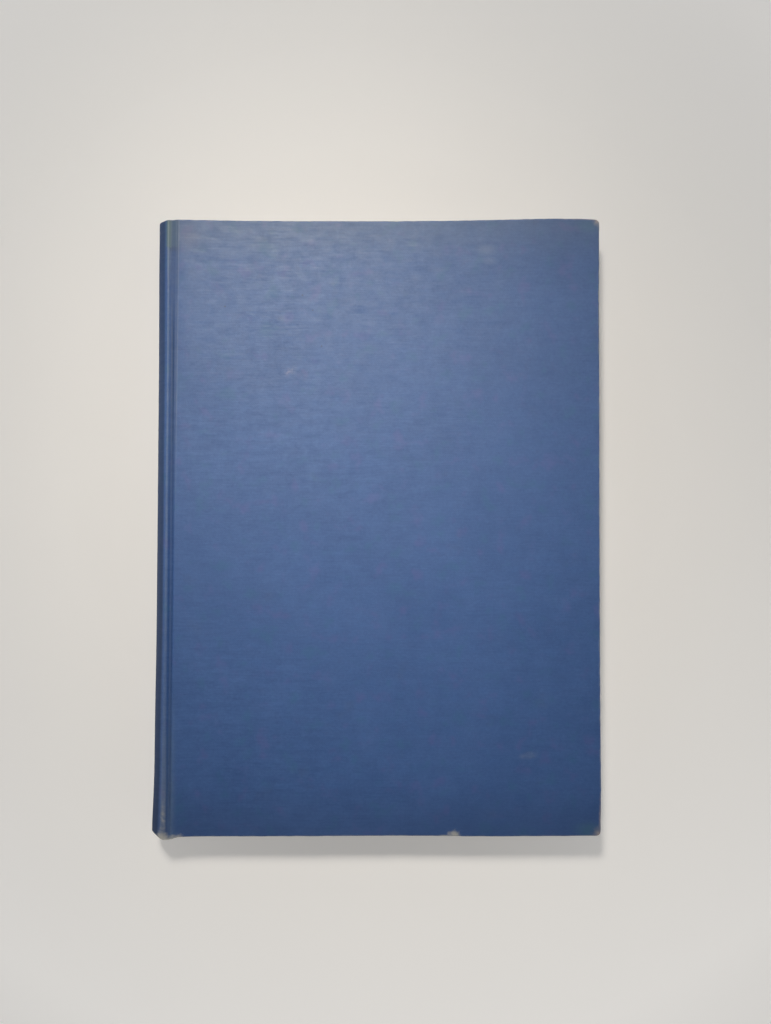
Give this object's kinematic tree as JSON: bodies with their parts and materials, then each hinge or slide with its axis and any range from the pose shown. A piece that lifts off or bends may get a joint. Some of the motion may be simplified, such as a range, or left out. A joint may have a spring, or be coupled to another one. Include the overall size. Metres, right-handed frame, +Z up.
{
  "type": "hardback book",
  "caption": "Closed cloth-bound hardback book with a rounded spine, boards hinged along grooved joints and a solid block of pages between them.",
  "frame": {"origin": "centre of the bounding box, on the plane that the back cover lies on", "axes": "+X from the spine to the fore-edge, +Y from the tail to the head of the book, +Z up through the front cover"},
  "size_m": [0.186, 0.2568, 0.018],
  "materials": {
    "book_cloth": "matte",
    "grey_board": "matte",
    "spine_card": "matte",
    "endpaper": "matte",
    "page_paper": "matte",
    "mull": "matte",
    "lining_paper": "matte",
    "band_thread": "satin"
  },
  "bodies": {
    "text_block": {"page_block": "page_paper", "front_flyleaf": "endpaper", "back_flyleaf": "endpaper", "spine_mull": "mull", "spine_lining": "lining_paper", "head_band": "band_thread", "tail_band": "band_thread", "spine_card": "spine_card", "spine_cloth": "book_cloth"},
    "front_cover": {"front_board": "grey_board", "front_cloth": "book_cloth", "front_pastedown": "endpaper"},
    "back_cover": {"back_board": "grey_board", "back_cloth": "book_cloth", "back_pastedown": "endpaper"}
  },
  "joints": [
    {"name": "front_cover_hinge", "type": "hinge", "parent": "text_block", "child": "front_cover", "pos_m": [-0.08777, 0, 0.01667], "axis": [0, -1, 0], "range_deg": [0, 179.5]},
    {"name": "back_cover_hinge", "type": "hinge", "parent": "text_block", "child": "back_cover", "pos_m": [-0.08777, 0, 0.00133], "axis": [0, 1, 0], "range_deg": [0, 179.5]}
  ]
}
